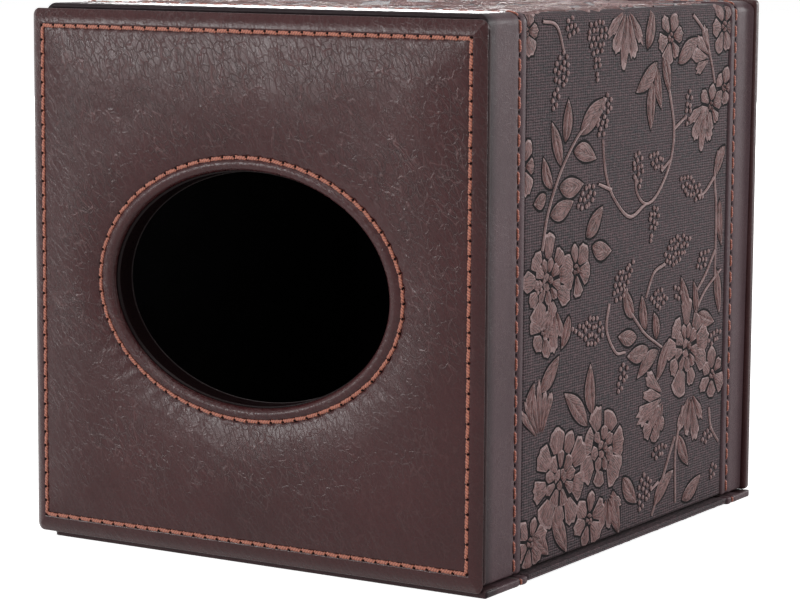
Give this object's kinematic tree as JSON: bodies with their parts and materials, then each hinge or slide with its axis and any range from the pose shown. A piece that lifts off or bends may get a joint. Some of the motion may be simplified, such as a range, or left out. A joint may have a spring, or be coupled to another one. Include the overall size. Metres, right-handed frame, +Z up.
{
  "type": "tissue box cover",
  "caption": "Cube tissue box cover in padded brown leatherette with a stitched oval mouth, patterned cloth walls between leather bands, and a hinged bottom flap for loading.",
  "frame": {"origin": "middle of the box's footprint, on the surface it stands on with its flap shut", "axes": "+X to the right as seen from the oval mouth, from the flap's hinge to its lip; +Y from the padded plate with the mouth to the back plate; +Z up"},
  "size_m": [0.13, 0.147, 0.134],
  "materials": {
    "plate_leather": "satin",
    "band_leather": "satin",
    "back_leather": "satin",
    "floral_fabric": "matte",
    "thread": "matte",
    "board": "matte",
    "foam": "matte",
    "lining": "matte",
    "batten": "matte",
    "steel": "satin"
  },
  "bodies": {
    "case": {"front_board": "board", "front_foam": "foam", "front_skin": "plate_leather", "oval_rim": "plate_leather", "border_thread": "thread", "oval_thread": "thread", "front_inner_board": "board", "front_lining": "lining", "back_board": "board", "back_skin": "back_leather", "back_lining": "lining", "top_board": "board", "left_board": "board", "right_board": "board", "top_lining": "lining", "left_lining": "lining", "right_lining": "lining", "case_front_band": "band_leather", "case_fabric": "floral_fabric", "case_rear_band": "band_leather", "case_front_thread": "thread", "case_rear_thread": "thread", "magnet_batten": "batten", "closure_magnets": "steel"},
    "flap": {"flap_board": "board", "flap_front_band": "band_leather", "flap_fabric": "floral_fabric", "flap_rear_band": "band_leather", "flap_lining": "lining", "strike_plates": "steel", "flap_front_thread": "thread", "flap_rear_thread": "thread"}
  },
  "joints": [
    {"name": "flap_hinge", "type": "hinge", "parent": "case", "child": "flap", "pos_m": [-0.0622, 0, 0.0008], "axis": [0, 1, 0], "range_deg": [0, 110]}
  ]
}
